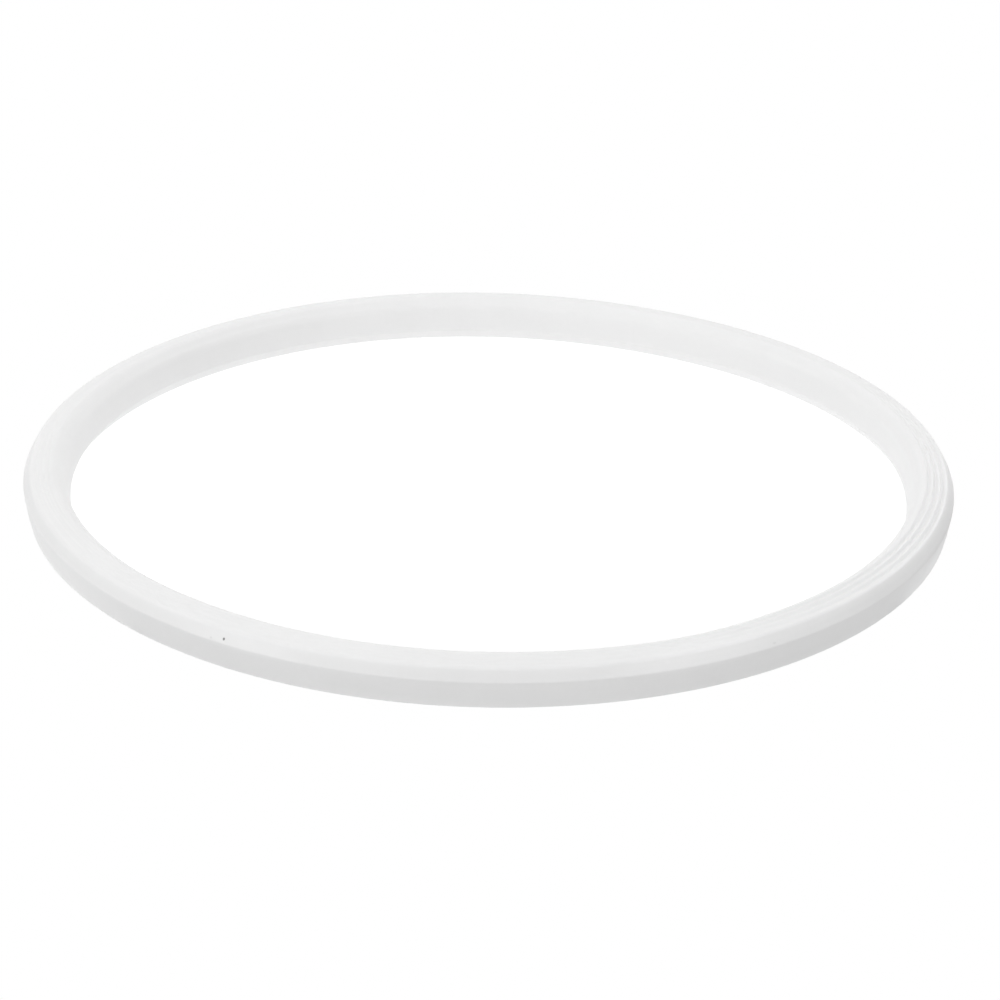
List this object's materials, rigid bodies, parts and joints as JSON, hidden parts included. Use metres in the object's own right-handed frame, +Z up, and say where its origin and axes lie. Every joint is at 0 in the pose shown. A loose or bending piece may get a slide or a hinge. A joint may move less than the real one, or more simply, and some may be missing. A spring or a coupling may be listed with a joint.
{
  "type": "pressure cooker sealing ring",
  "caption": "Round moulded silicone sealing ring for a stovetop pressure cooker lid, with a chamfered rim, grooved top face, rounded crown and inner lip.",
  "frame": {"origin": "on the ring's axis, at the flat seat face it rests on", "axes": "+Z up along the ring's axis, from the seat to the crown; X and Y are any two square diameters of the round ring"},
  "size_m": [0.245, 0.245, 0.0118],
  "materials": {
    "silicone": "satin white food-grade silicone, slightly translucent"
  },
  "bodies": {
    "root": {"sealing_ring": "silicone"}
  },
  "joints": []
}
